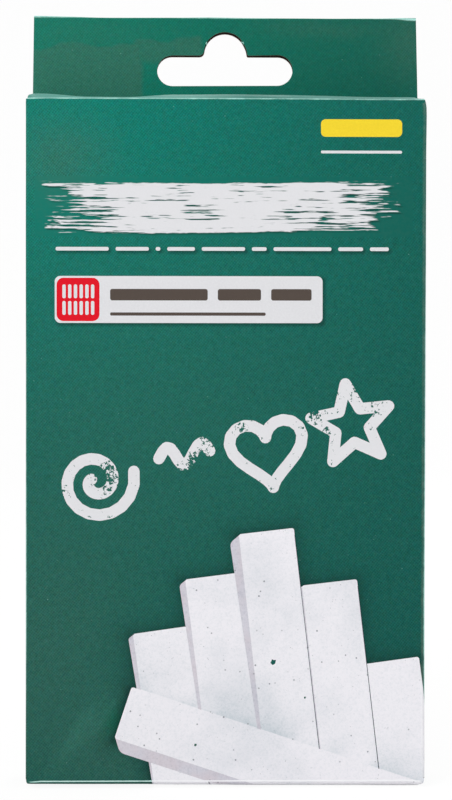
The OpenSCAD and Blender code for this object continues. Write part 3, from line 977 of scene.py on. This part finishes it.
# short bottom flaps, dust flaps and second bottom flap
flaps = {"reach": 24.0, "dustCutback": 2.2, "dustCorner": 2.0, "dustFront": 0.9, "dustSag": 0.75,
         "dustRear": tuck.y - board / 2 - 0.6, "secondReach": 13.2}
nearY, farY = frontY + folds["upright"], backY - folds["upright"]
sidePath = FoldPath((-sideX, wallLow), (0, -1), [(90, folds["bottom"]),
                                                 flaps["reach"] - folds["bottom"]])
dustPath = FoldPath((-sideX, wallHigh), (0, 1), [(90, folds["dust"]),
                                                 flaps["reach"] - folds["dust"]], side=-1)
secondPath = FoldPath((backY, wallLow), (0, -1), [board, (90, folds["bottom"]),
                                                  flaps["secondReach"]], side=-1)
dustArc = folds["dust"] * math.pi / 2
secondHalf = flatX - board


def sideFlapAt(s, t, depth, mirror):
    p = sidePath.at(s, depth)
    return pushed(Vector((p.x * mirror, t, p.y)))


def dustFlapAt(s, t, depth, mirror):
    # springs up at its fold and settles down from there
    p = dustPath.at(s, depth)
    return pushed(Vector((p.x * mirror, t, p.y - flaps["dustSag"] * smooth((s - dustArc) / 4))))


def secondFlapAt(s, t, depth):
    p = secondPath.at(s, depth)
    return Vector((t, p.x, p.y))


def atFold(s, t):
    return s < 0.01


bm = bmesh.new()
rear, cut, small = flaps["dustRear"], flaps["dustCutback"], flaps["dustCorner"]
pulled, tip = nearY + flaps["dustFront"], dustPath.length
for mirror in (1, -1):
    layBoard(bm, lambda s, t, depth: sideFlapAt(s, t, depth, mirror),
             [(0, nearY), (sidePath.length, nearY), (sidePath.length, farY), (0, farY)],
             sidePath.rows, joined=atFold)
    layBoard(bm, lambda s, t, depth: dustFlapAt(s, t, depth, mirror),
             [(0, nearY), (dustArc * 0.8, nearY), (dustArc + 0.8, pulled), (tip - small, pulled),
              (tip, pulled + small), (tip, rear - cut - small), (tip - small, rear - cut),
              (dustArc + 0.05, rear), (dustArc * 0.8, farY), (0, farY)],
             dustPath.rows, step=2, joined=atFold, wearAndHighlight=lambda s, t: 0.5 * peak(s - dustArc / 2, 0.5))
layBoard(bm, secondFlapAt, mirrored([(0, -secondHalf), (secondPath.length, -secondHalf)]),
         secondPath.rows, joined=atFold, wearAndHighlight=lambda s, t: 0.8 * peak(s - board, 0.25))
newPiece("carton_flaps", bm, "carton")
print("carton walls and flaps folded")


# hang tab

tab = {
    # how far its sides are set in at its foot and top, and how much further at the left
    "foot": 0.2, "top": 0.62, "footLeft": 0.15, "topLeft": 0.02,
    "lapGap": 0.5,
    "slotWidth": 30.4, "slotHeight": 6.65, "slotLift": 4.6, "archRadius": 4.64, "archLift": 0.51,
    "archFeet": (1.1, 0.3),  # size of the curve at the arch's left and right foot
    "splay": 0.3, "splayHeight": 2.4,  # how far the arch's right side stands out at its foot
    "shift": -0.08, "drop": 0.08,  # place of the back layer's slot
    "frontShift": -0.07, "open": 0.22,  # the front layer's slot is taller than the back one's
    "endRise": 0.17,  # and turned up at its right end
    "edgeDip": 0.1,  # how unevenly the top fold runs, and where it stands up
    "edgeRise": [(-42, 0.3), (-36, 0.2), (-27, 0.03), (-10, 0.05), (-4.5, 0.12), (5, 0.02),
                 (16, 0), (25, -0.08), (33.5, 0), (41, 0.16)],
    "crackAndHighlight": (0.36, 0.24, 42, 0.1),  # the top fold's pale line, cracked print and partly a painted highlight: its reach, how much and how slowly it swings, how it wanders
    "tornFrom": 38, "tornDrop": 0.34,  # at its right end the pale line runs down the front
}
layerThick = board - 0.02
tabBack = tabTop - board - wallHigh
tabPath = FoldPath((backY, wallHigh), (0, 1), [tabBack, (180, board),
                                               tabTop - board - boxTop - tab["lapGap"]])
tabTurn = tabBack + math.pi * board
slotZ = boxTop + tab["slotLift"]


def slotOutline(extra=0.0, count=10):
    height = tab["slotHeight"] + extra
    r, end = height / 2, (tab["slotWidth"] - height) / 2
    arch, rise = tab["archRadius"] + extra / 2, height + tab["archLift"]

    def half(foot):
        footX = math.sqrt((arch + foot) ** 2 - (foot - tab["archLift"]) ** 2)
        meet = math.degrees(math.atan2(height + foot - rise, footX))
        return (arcPoints(end, r, r, -90, 180, 2 * count)
                + arcPoints(footX, height + foot, foot, -90, meet - 90, 4)
                + arcPoints(0, rise, arch, meet, 90 - meet, count)[1:])

    def splayed(x, z):
        onArch = 0 < x < arch + 0.5 and z >= height
        return x + tab["splay"] * max(0, 1 - (z - height) / tab["splayHeight"]) * onArch, z

    right = [splayed(x, z) for x, z in half(tab["archFeet"][1])]
    return right + [(-x, z) for x, z in half(tab["archFeet"][0])[-2::-1]]


def tabHalf(z):
    # half the tab's width at a height
    return sideX - tab["foot"] - (tab["top"] - tab["foot"]) * max(0, (z - boxTop) / (tabTop - boxTop))


def tabAt(s, t, depth):
    p = tabPath.at(s, min(depth, layerThick))
    f = max(0, min(1, (s - tabBack) / (tabTurn - tabBack)))
    dip = tab["edgeDip"] * (noise.noise(Vector((t * 0.06, 3.3, 0))) + 0.5)
    return Vector((t, p.x, p.y - (dip - through(tab["edgeRise"], t)) * math.sin(math.pi * f)))


def tabWearAndHighlight(s, t):
    # the top fold's pale line: cracked print and partly a painted highlight, widest at its ends and in the
    # middle
    reach, swing, wave, wander = tab["crackAndHighlight"]
    reach += swing * math.cos(t / wave * tau) + wander * noise.noise(Vector((t * 0.12, 0, 7.7)))
    torn = smooth((t - tab["tornFrom"]) / 4)
    middle = (tabBack + tabTurn) / 2 + 0.2 + tab["tornDrop"] * torn
    return (1.1 + 0.1 * torn) * peak(s - middle, max(0.22, reach))


bm = bmesh.new()
wide = [(s, tabHalf(z)) for s, z in ((0, 0), (boxTop - wallHigh, 0), (tabBack, tabTop),
                                     (tabTurn, tabTop), (tabPath.length, boxTop))]
wide += [(s, tab["topLeft" if s in (tabBack, tabTurn) else "footLeft"] - t) for s, t in wide[::-1]]
rearSlot = [(slotZ - tab["drop"] + z - wallHigh, x + tab["shift"]) for x, z in slotOutline()]
frontSlot = [(tabTurn + tabTop - board - slotZ - z - tab["endRise"] * smooth((x - 5) / 9),
              x + tab["frontShift"]) for x, z in slotOutline(tab["open"])]
# the inner faces of both layers take the dark paint: painted shade in the gap seen at the slot
layBoard(bm, tabAt, wide, tabPath.rows + [tabTurn + 0.3], holes=[rearSlot, frontSlot], step=1.8,
         wearAndHighlight=tabWearAndHighlight, joined=lambda s, t: s < 0.01 and abs(t) < flatX, thick=layerThick,
         behind="slotGapShade")
newPiece("carton_hang_tab", bm, "carton")
print("hang tab folded")


# lid and tuck flap

lidSizes = {
    "tuckHalf": sideX - 1.9, "tuckLength": 8.0, "tuckCorner": 4.0,
    "foldReach": 0.34,  # size of the bend at each fold
    "rows": 22,
    "crease": (5.2, 2.4, 0.92, 0.5),  # wear of its fold, its bright line partly a painted highlight: row, reach in rows, strength, spottiness
    "tuckCrease": (4, 2.5, 0.7),
    "narrow": (7, 5),  # rows before its end where the tuck flap's sides come in, and over how many
    # the board has gone wavy: places along its width and the height of its bow there
    "bow": [(-43.1, 1.4), (-42.2, 1.66), (-41.1, 1.66), (-29.0, 0.85), (-22.3, 0.79), (-11.0, 1.48),
            (2.0, 1.58), (11.0, 1.47), (35.0, 1.08), (41.0, 1.06), (43.0, 0.5)],
    # how far its front fold hangs below the level line
    "foldDrop": [(-43, 0.07), (-36, 0.03), (12, 0.03), (22, 0.07), (32, 0.13), (38, 0.13), (43, 0.09)],
    "ends": (-43.1, 43.3),
}
span = tuck.y - hinge.y


def lidLine(x):
    # middle of the board, from the front panel over the lid to the tuck flap
    bow, drop = through(lidSizes["bow"], x), through(lidSizes["foldDrop"], x)
    reach, rows = lidSizes["foldReach"], lidSizes["rows"]
    start = reach * 0.9 / span

    def lidPoint(q):
        return Vector((hinge.y + span * q, hinge.z + (bow * 4 * q - drop) * (1 - q)))

    line = [Vector((hinge.y, stripTop)), Vector((hinge.y, stripTop + 0.15))]
    line += bend(Vector((hinge.y, hinge.z - drop - reach)), Vector((hinge.y, hinge.z - drop)),
                 lidPoint(start))
    line += [lidPoint(start + (1 - 2 * start) * i / rows) for i in range(1, rows)]
    line += bend(lidPoint(1 - start), Vector((tuck.y, hinge.z)), Vector((tuck.y, hinge.z - reach)))
    return line + [Vector((tuck.y, stripTop))]


lastRow = len(lidLine(0)) - 1
lidFirst, lidLast = 11, lastRow - 10  # the rows between the two fold strips


def lidPatch(first, last, wearAndHighlight):
    # rows first to last of the lid, with both faces and its cut ends
    bm, columns = bmesh.new(), []
    before, over = lidSizes["narrow"]
    for x in spaced(*lidSizes["ends"], 1.0):
        line, column = lidLine(x), []
        for r in range(first, last + 1):
            along = (line[min(r + 1, lastRow)] - line[max(r - 1, 0)]).normalized()
            out = Vector((-along.y, along.x)) * board / 2
            narrow = smooth((r - lastRow + before) / over) * (flatX - lidSizes["tuckHalf"]) / flatX
            at = pushed(Vector((x, 0, boxTop))).x * (1 - narrow)
            pair = [bm.verts.new(Vector((at, p.x, p.y)) * mm) for p in (line[r] + out, line[r] - out)]
            column.append((*pair, wearAndHighlight(r, x)))
        columns.append(column)

    for one, two in zip(columns, columns[1:]):
        for (a, d, w), (b, e, v), (c, f, u), (g, h, q) in zip(one, two, two[1:], one[1:]):
            addFace(bm, [a, b, c, g], "green", [w, v, u, q])
            addFace(bm, [d, h, f, e], "inside")
    for end, turn in ((columns[0], 1), (columns[-1], -1)):
        for (a, d, _), (b, e, _) in zip(end, end[1:]):
            addFace(bm, [a, b, e, d][::turn], "cutEdge")
    return bm


def creaseWearAndHighlight(row, x):
    # wear along the lid's front fold, partly a painted highlight
    middle, reach, strength, spotty = lidSizes["crease"]
    strength += spotty * noise.noise(Vector((x * 0.22, 5.0, 0)))
    return strength * (1 - 0.1 * smooth((x - 12) / 8)) * peak(row - middle, reach)


def tuckWear(row, x):
    before, reach, strength = lidSizes["tuckCrease"]
    return strength * peak(row - (lastRow - before), reach)


foldStrip = newPiece("lid_fold", lidPatch(0, lidFirst, creaseWearAndHighlight), None)
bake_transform(foldStrip)
newPiece("lid_panel", lidPatch(lidFirst, lidLast, lambda row, x: 0.0), "lid", "lid")
tuckStrip = newPiece("lid_tuck_fold", lidPatch(lidLast, lastRow, tuckWear), None)
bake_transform(tuckStrip)

half, low, round_ = lidSizes["tuckHalf"], hinge.z - lidSizes["tuckLength"], lidSizes["tuckCorner"]
outline = (arcPoints(-half + round_, low + round_, round_, 180, 90, 8)
           + arcPoints(half - round_, low + round_, round_, 270, 90, 8))
bm = bmesh.new()
layBoard(bm, lambda s, t, depth: Vector((t, tuck.y + board / 2 - depth, s)),
         [(z, x) for x, z in outline + [(half, stripTop), (-half, stripTop)]], step=2,
         joined=lambda s, t: s > stripTop - 0.01)
newPiece("tuck_panel", bm, "tuck_flap", "tuck_flap")
print("lid, tuck flap and fold strips made")


# chalk sticks and torn fibres, made by node trees

def nodeGroup(name, values):
    # a tree with one named input per value; returns it, its inputs and their identifiers
    tree = bpy.data.node_groups.new(name, "GeometryNodeTree")
    tree.interface.new_socket("Geometry", in_out="OUTPUT", socket_type="NodeSocketGeometry")
    sockets = {}
    for key, value in values.items():
        kind = {float: "Float", int: "Int"}.get(type(value), "Material")
        socket = tree.interface.new_socket(key, in_out="INPUT", socket_type="NodeSocket" + kind)
        sockets[key] = socket.identifier
        if kind != "Material":
            socket.default_value = value
    given = tree.nodes.new("NodeGroupInput")
    t = Tree(tree)
    return t, {key: Wire(t, given.outputs[key]) for key in values}, sockets


def endGroup(t, shape, paint):
    real = t.add("GeometryNodeRealizeInstances", [shape])
    done = t.add("GeometryNodeSetMaterial", {"Geometry": real, "Material": paint})
    t.plug(t.tree.nodes.new("NodeGroupOutput"), [done])


def scaled(t, vector, share):
    return t.add("ShaderNodeVectorMath", {"Vector": vector, "Scale": share}, operation="SCALE")


def meshFromTree(name, tree, sockets, values, centre):
    # runs a node tree once and keeps its result as a plain mesh
    carrier = newObject(name + "_maker", bpy.data.meshes.new(name + "_seed"))
    modifier = carrier.modifiers.new("make", "NODES")
    modifier.node_group = tree
    for key, value in values.items():
        modifier[sockets[key]] = value
    graph = bpy.context.evaluated_depsgraph_get()
    mesh = bpy.data.meshes.new_from_object(carrier.evaluated_get(graph), depsgraph=graph)
    carrier.modifiers.remove(modifier)
    bpy.data.objects.remove(carrier)
    mesh.name = name
    mesh.transform(Matrix.Translation(centre))
    return newObject(name, mesh)


stickSizes = {  # in millimetres
    "Length": 84.0, "Side": 12.0, "Edge radius": 1.2, "End chamfer": 0.6, "Cell": 0.8,
    "Chip depth": 0.55, "Wobble": 0.05}


def buildStickTree(values):
    t, take, sockets = nodeGroup("chalk stick", values)
    length, side, radius, chamfer, cell, chipDepth, wobble, seed, paint = take.values()
    long, count = ((size / cell).rounded() + 1 for size in (length, side))
    box = t.add("GeometryNodeMeshCube", {"Size": t.vector(length, side, side), "Vertices X": long,
                                         "Vertices Y": count, "Vertices Z": count})
    where = t.add("GeometryNodeInputPosition")
    x, y, z = where.split()
    flat = side * 0.5 - radius
    innerY, innerZ = (v.atLeast(flat * -1).atMost(flat) for v in (y, z))
    dy, dz = y - innerY, z - innerZ
    reach = far(dy, dz).atLeast(1e-9)
    onEdge = (dy.size().atMost(dz.size()) / radius).atMost(1)  # 1 at a corner
    over = (x.size() - length * 0.5 + chamfer).atLeast(0)
    shrink = 1 - over / (side * 0.5)
    isSide = (dy.size() + dz.size()).ramp(1e-7, 2e-7)
    roundY, roundZ = ((v + (inner + d / reach * radius - v) * isSide) * shrink
                      for v, inner, d in ((y, innerY, dy), (z, innerZ, dz)))
    rough = t.noise(1 / 0.42, 3, 0.5, seed, where)
    lump = t.noise(1 / 0.06, 2, 0.5, seed + 3.3, where)
    endEdge = (over / chamfer).atMost(1) * (reach / radius).atMost(1)
    chipped = onEdge.ramp(0.1, 0.5).atLeast(endEdge) * rough.ramp(0.58, 0.66)
    inward = (lump - 0.5) * wobble * 2 - chipped * chipDepth
    offset = scaled(t, t.add("GeometryNodeInputNormal"), inward)
    shaped = t.add("GeometryNodeSetPosition", {"Geometry": box, "Position": t.vector(x, roundY, roundZ)})
    moved = t.add("GeometryNodeSetPosition", {"Geometry": shaped, "Offset": offset})
    marked = t.add("GeometryNodeStoreNamedAttribute",
                   {"Geometry": moved, "Name": "chip", "Value": chipped},
                   data_type="FLOAT", domain="POINT")
    endGroup(t, t.add("GeometryNodeSetShadeSmooth", [marked]), paint)
    return t.tree, sockets


values = {key: size * mm for key, size in stickSizes.items()}
values.update({"Seed": 0.0, "Finish": chalkFinish})
stickTree, stickSockets = buildStickTree(values)
stickNodes = sorted(n for n in frame["nodes"] if n.startswith("chalk_stick"))
for number, node in enumerate(stickNodes):
    lowCorner, highCorner = (Vector(corner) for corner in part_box(node))
    values["Seed"] = 1.7 * number
    stick = meshFromTree("chalk_" + node[-2:], stickTree, stickSockets, values,
                         (lowCorner + highCorner) / 2)
    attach(stick, "carton")
    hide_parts(node)
print("chalk sticks made:", len(stickNodes))

# torn fibres beside the slot's arch
nicks = {"angles": (153, 31), "count": 6, "length": 0.42, "thickness": 0.06, "spread": 0.14}


def buildFibreTree(values):
    t, take, sockets = nodeGroup("torn fibres", values)
    length, thickness, spread, count, seed, paint = take.values()
    wide = t.vector(spread, spread * 0.25, spread)
    where = t.add("FunctionNodeRandomValue", {0: scaled(t, wide, -1.0), 1: wide, "Seed": seed},
                  data_type="FLOAT_VECTOR")
    turn = t.add("FunctionNodeRandomValue", {0: (-0.7, -tau, -0.7), 1: (0.7, tau, 0.7), "Seed": seed + 1},
                 data_type="FLOAT_VECTOR")
    curl = t.add("GeometryNodeCurveQuadraticBezier", {
        "Resolution": 5, "Start": (0, 0, 0), "Middle": t.vector(length * 0.5, length * -0.16, 0.0),
        "End": t.vector(length, 0.0, length * 0.35)})
    ring = t.add("GeometryNodeCurvePrimitiveCircle", {"Resolution": 6, "Radius": thickness})
    fibre = t.add("GeometryNodeCurveToMesh", {"Curve": curl, "Profile Curve": ring, "Fill Caps": True})
    points = t.add("GeometryNodePoints", {"Count": count, "Position": where})
    many = t.add("GeometryNodeInstanceOnPoints", {"Points": points, "Instance": fibre, "Rotation": turn})
    endGroup(t, many, paint)
    return t.tree, sockets


values = {"Length": nicks["length"] * mm, "Thickness": nicks["thickness"] * mm,
          "Spread": nicks["spread"] * mm, "Count": nicks["count"], "Seed": 0,
          "Finish": finish("torn board fibres", rawBoard("paleBoardAndSheen"), matt)}
fibreTree, fibreSockets = buildFibreTree(values)
for number, angle in enumerate(nicks["angles"]):
    radius = tab["archRadius"] + tab["open"] / 2
    x, z = arcPoints(0, tab["slotHeight"] + tab["open"] + tab["archLift"], radius, angle)[0]
    values["Seed"] = 3 + number
    tuft = meshFromTree(f"carton_fibres_{number + 1}", fibreTree, fibreSockets, values,
                        Vector((x + tab["frontShift"], backY - 2 * board, slotZ + z)) * mm)
    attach(tuft, "carton")
print("fibres made:", len(nicks["angles"]))


# studio

studio = {
    "floorTone": 0.86, "floorRough": 0.95, "backdrop": 0.9, "glow": 1.03, "skyStrength": 0.5,
    "floor": {"near": -2.2, "bendAt": 1.2, "bend": 0.5, "top": 3.0, "side": 3.0, "gap": 0.02},
    "lamps": [  # name, place, size, power
        ("key left", (-0.75, -0.95, 0.85), 0.6, 8.0), ("fill right", (0.9, -0.8, 0.45), 0.7, 2.4),
        ("top", (0.0, -0.1, 1.2), 0.7, 1.6), ("back", (0.75, 0.95, 0.75), 0.6, 4.5)],
    "aim": (0, 0, 0.08),
}


def seenShare(tree, strength):
    # strength for the camera and for mirrored and clear surfaces, nothing for other rays
    path = tree.add("ShaderNodeLightPath").socket.node
    rays = [Wire(tree, path.outputs[f"Is {kind} Ray"]) for kind in ("Camera", "Glossy", "Transmission")]
    return rays[0].atLeast(rays[1]).atLeast(rays[2]) * strength


def backdrop():
    # floor that curves up into a plain wall; the carton rests on its lowest fold
    f, bm = studio["floor"], bmesh.new()
    turns = [math.pi / 2 * i / 16 for i in range(17)]
    profile = [(f["near"], 0), *((f["bendAt"] + f["bend"] * math.sin(a), f["bend"] * (1 - math.cos(a)))
                                 for a in turns), (f["bendAt"] + f["bend"], f["top"])]
    low = (max(drop for _, drop in foot["sag"]) + f["gap"]) * mm
    rows = [[bm.verts.new((x, y, z - low)) for x in (-f["side"], f["side"])] for y, z in profile]
    for a, b in zip(rows, rows[1:]):
        bm.faces.new([a[0], a[1], b[1], b[0]]).smooth = True
    mesh = meshOf("studio_floor", bm)
    tone = (*[studio["floorTone"]] * 3, 1)
    material = finish("pale studio paper", lambda tree: (tone, studio["floorRough"], None), 0.0)
    mesh.materials.append(material)
    tree, nodes = Tree(material.node_tree), material.node_tree.nodes
    glow = tree.add("ShaderNodeEmission", {"Color": (1, 1, 1, 1), "Strength": studio["glow"]})
    both = tree.add("ShaderNodeMixShader", [seenShare(tree, studio["backdrop"]),
                                            Wire(tree, nodes["Principled BSDF"].outputs[0]), glow])
    tree.plug(nodes["Material Output"], {"Surface": both})
    newObject("studio_floor", mesh)


def skyLight():
    world = bpy.data.worlds.new("studio")
    bpy.context.scene.world = world
    world.use_nodes = True
    tree = Tree(world.node_tree)
    strength = seenShare(tree, 1 - studio["skyStrength"]) + studio["skyStrength"]
    tree.plug(tree.tree.nodes["Background"], {"Color": (1, 1, 1, 1), "Strength": strength})


backdrop()
skyLight()
for name, place, size, power in studio["lamps"]:
    lamp = bpy.data.lights.new(name, "AREA")
    lamp.shape, lamp.size, lamp.energy = "SQUARE", size, power
    light = newObject(name, lamp)
    light.location = place
    light.rotation_euler = (Vector(studio["aim"]) - Vector(place)).to_track_quat("-Z", "Y").to_euler()

view = {  # place in millimetres, turns in degrees, focal length and picture height in pixels
    "place": (-6.97, -413.34, 91.04), "yaw": -0.983, "pitch": -0.941, "roll": -0.046,
    "focal": 1865.4, "imageHeight": 800, "sensor": 36}
cameraData = bpy.data.cameras.new("camera")
cameraData.sensor_fit, cameraData.sensor_height = "VERTICAL", view["sensor"]
cameraData.lens = view["focal"] / view["imageHeight"] * view["sensor"]
cameraData.clip_start, cameraData.clip_end = 0.01, 20
camera = newObject("camera", cameraData)
pose = Matrix.Translation(Vector(view["place"]) * mm)
for angle, axis in ((view["yaw"], "Z"), (view["pitch"], "X"), (view["roll"], "Y"), (90, "X")):
    pose = pose @ Matrix.Rotation(math.radians(angle), 4, axis)
camera.matrix_world = pose
bpy.context.scene.camera = camera
bpy.context.scene.view_settings.view_transform = "Standard"
print("studio set")
